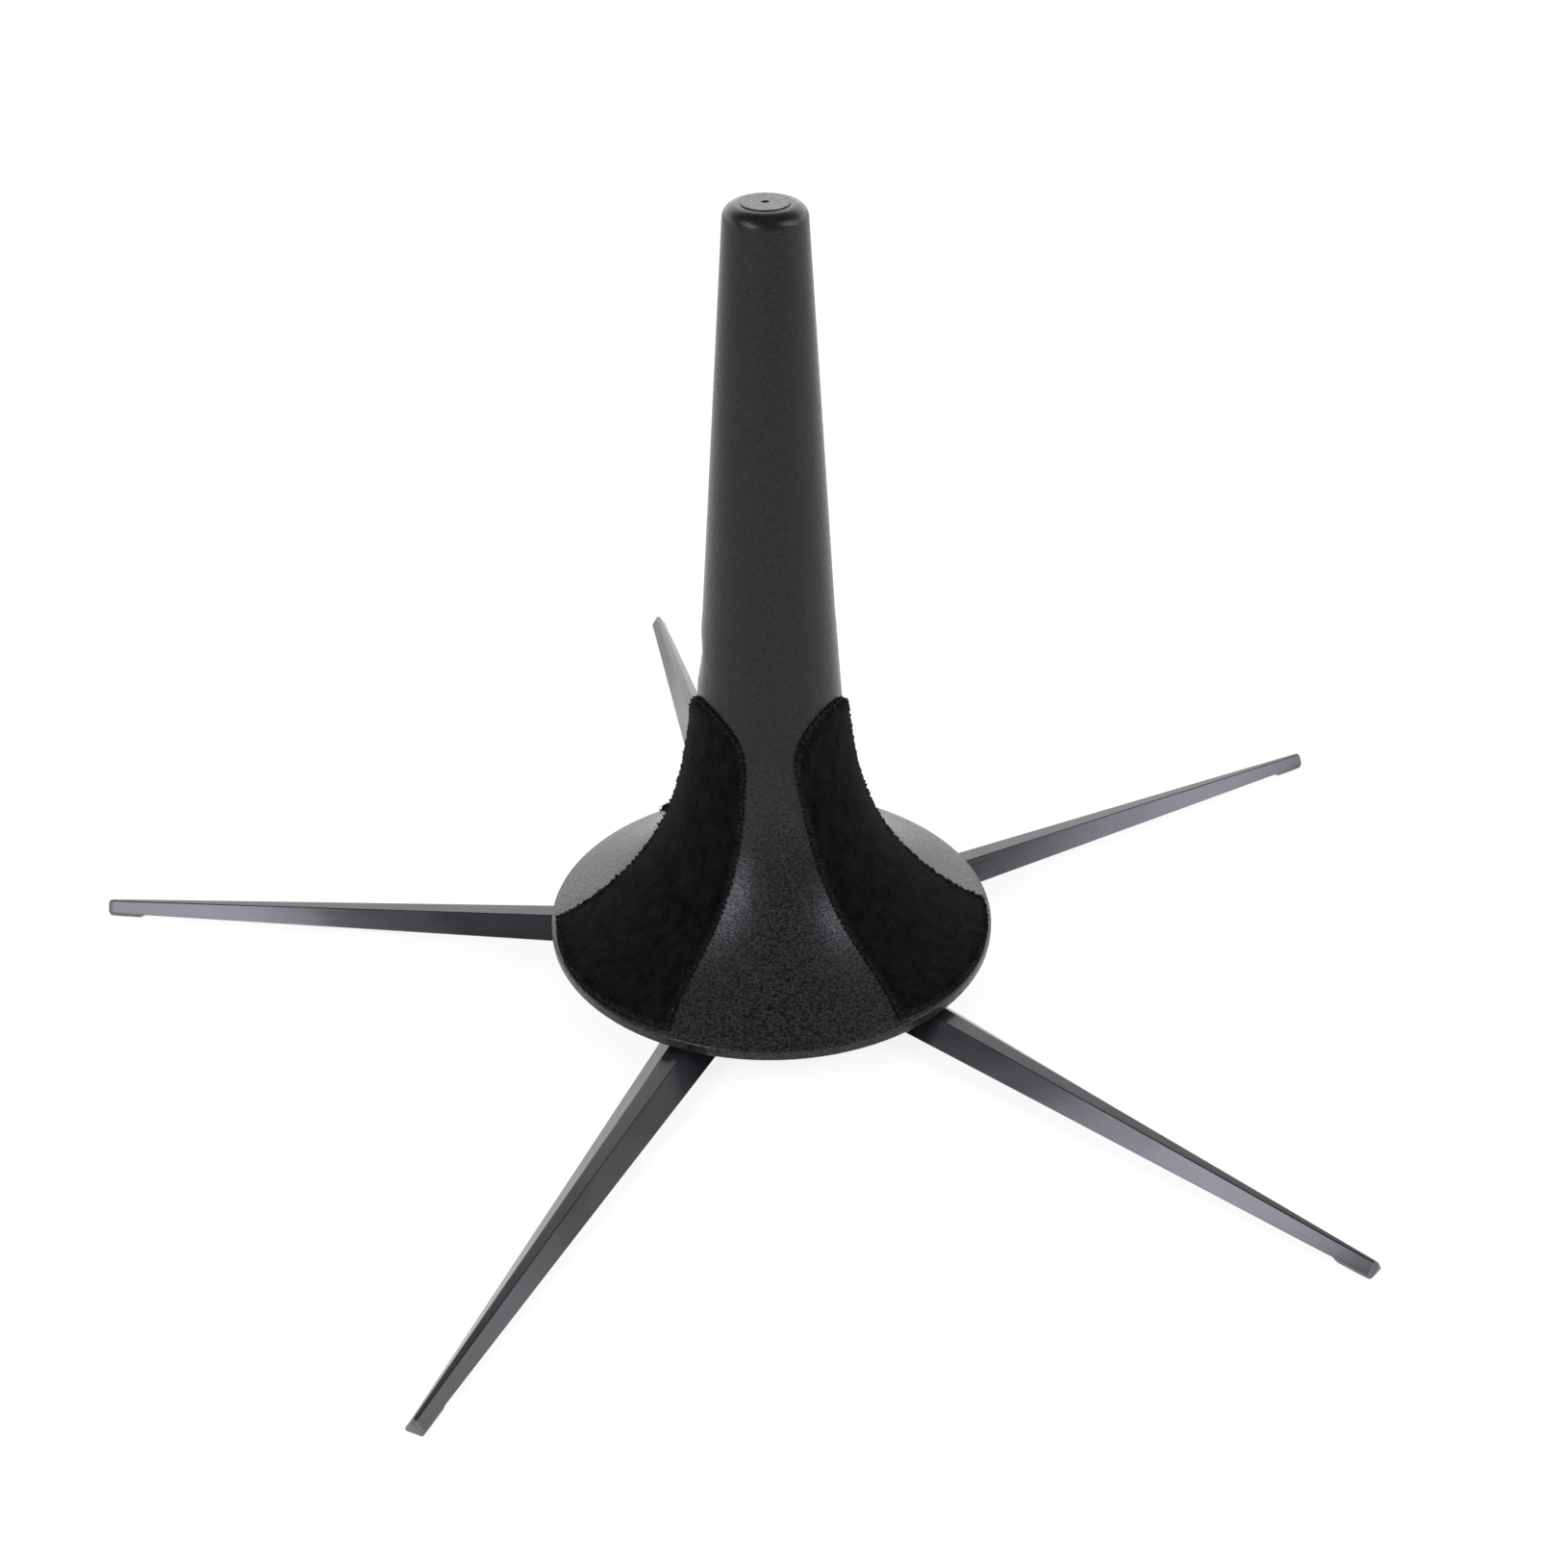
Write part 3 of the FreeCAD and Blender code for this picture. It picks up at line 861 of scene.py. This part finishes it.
# ================================================================ lights, floor, camera
def make_floor(material):
    points = [(0, 0, 0)]
    for i in range(floor_sides):
        angle = math.tau * i / floor_sides
        points.append((floor_radius * math.cos(angle), floor_radius * math.sin(angle), 0))
    faces = [(0, i + 1, (i + 1) % floor_sides + 1) for i in range(floor_sides)]
    floor = mesh_object("floor", points, faces)
    paint(floor, material)


def softbox(name, azimuth, size, power):
    """An oval light that looks at the middle of the stand; azimuth 0 is the camera's side."""
    light = bpy.data.lights.new(name, "AREA")
    light.shape = "ELLIPSE"
    light.size, light.size_y = size
    light.energy = power
    light.color = softbox_tint
    lamp = link(bpy.data.objects.new(name, light))
    a = math.radians(azimuth)
    e = math.radians(softbox_elevation)
    away = Vector((math.sin(a) * math.cos(e), -math.cos(a) * math.cos(e), math.sin(e)))
    place = away * softbox_distance
    lamp.location = place + Vector((0, 0, cone_top / 2))
    rolled = Quaternion((0, 0, 1), math.radians(softbox_roll))
    lamp.rotation_euler = ((-place).to_track_quat("-Z", "Y") @ rolled).to_euler()


def make_lights():
    """Two softboxes in front, with the camera in the dark gap between them, and the surroundings."""
    softbox("softbox_left", -43, (0.95, 0.42), 6.9)
    softbox("softbox_right", 70, (0.95, 0.48), 5.85)
    make_world()
    bpy.context.scene.view_settings.view_transform = "Standard"


def make_world():
    """A studio that is bright behind the stand and low at its sides, and dark overhead and in front.

    Seen directly it is plain white.
    """
    world = bpy.data.worlds.new("studio")
    world.use_nodes = True
    tree = world.node_tree
    tree.nodes.clear()
    link_up = tree.links.new
    direction = tree.nodes.new("ShaderNodeTexCoord").outputs["Generated"]
    tilt = tree.nodes.new("ShaderNodeVectorMath")
    tilt.operation = "DOT_PRODUCT"
    tilt.inputs[1].default_value = dark_side
    link_up(direction, tilt.inputs[0])
    fade = tree.nodes.new("ShaderNodeMapRange")
    fade.interpolation_type = "SMOOTHSTEP"
    for name, number in zip(MAP_RANGE_ENDS, world_fade):
        fade.inputs[name].default_value = number
    link_up(tilt.outputs["Value"], fade.inputs["Value"])
    glow = tree.nodes.new("ShaderNodeBackground")
    glow.inputs["Color"].default_value = (1, 1, 1, 1)
    link_up(fade.outputs["Result"], glow.inputs["Strength"])
    plain = tree.nodes.new("ShaderNodeBackground")
    plain.inputs["Color"].default_value = (1, 1, 1, 1)
    mix = tree.nodes.new("ShaderNodeMixShader")
    seen = tree.nodes.new("ShaderNodeLightPath").outputs["Is Camera Ray"]
    link_up(seen, mix.inputs["Fac"])
    link_up(glow.outputs["Background"], mix.inputs[1])
    link_up(plain.outputs["Background"], mix.inputs[2])
    output = tree.nodes.new("ShaderNodeOutputWorld")
    link_up(mix.outputs["Shader"], output.inputs["Surface"])
    bpy.context.scene.world = world


def make_camera():
    """The camera looks down on the stand from in front, turned and tilted a little off its middle."""
    data = bpy.data.cameras.new("camera")
    data.lens = camera_lens
    data.sensor_width = camera_sensor
    data.clip_start = 0.01
    data.clip_end = 50
    camera = link(bpy.data.objects.new("camera", data))
    e = camera_height_angle
    place = Vector((0, -camera_distance * math.cos(e), camera_distance * math.sin(e)))
    forward = Vector((
        math.sin(camera_turn) * math.cos(camera_tilt),
        math.cos(camera_turn) * math.cos(camera_tilt),
        math.sin(camera_tilt),
    ))
    level = forward.cross(UP).normalized()
    upright = level.cross(forward)
    right = level * math.cos(camera_roll) + upright * math.sin(camera_roll)
    top = upright * math.cos(camera_roll) - level * math.sin(camera_roll)
    camera.matrix_world = Matrix.Translation(place) @ Matrix((right, top, -forward)).transposed().to_4x4()
    bpy.context.scene.camera = camera


# ================================================================ the whole stand
def main():
    finishes = {
        "cone_plastic": cone_plastic(),
        "hub_plastic": hub_plastic(),
        "velour": velour(),
        "leg_enamel": leg_enamel(),
        "foot_rubber": foot_rubber(),
        "steel": plated_steel(),
    }
    for part in frame["record"]["subparts"]:
        repaint_node(part["node"], finishes[part["material_slot"]])
    meridian = Meridian()
    for i, name in enumerate(pad_names):
        azimuth = pad_first_azimuth + i * math.tau / len(pad_names)
        make_pad(name, azimuth, pad_seed_step * i, meridian, finishes["velour"])
    make_legs(finishes)
    make_floor(floor_paper())
    make_lights()
    make_camera()


main()
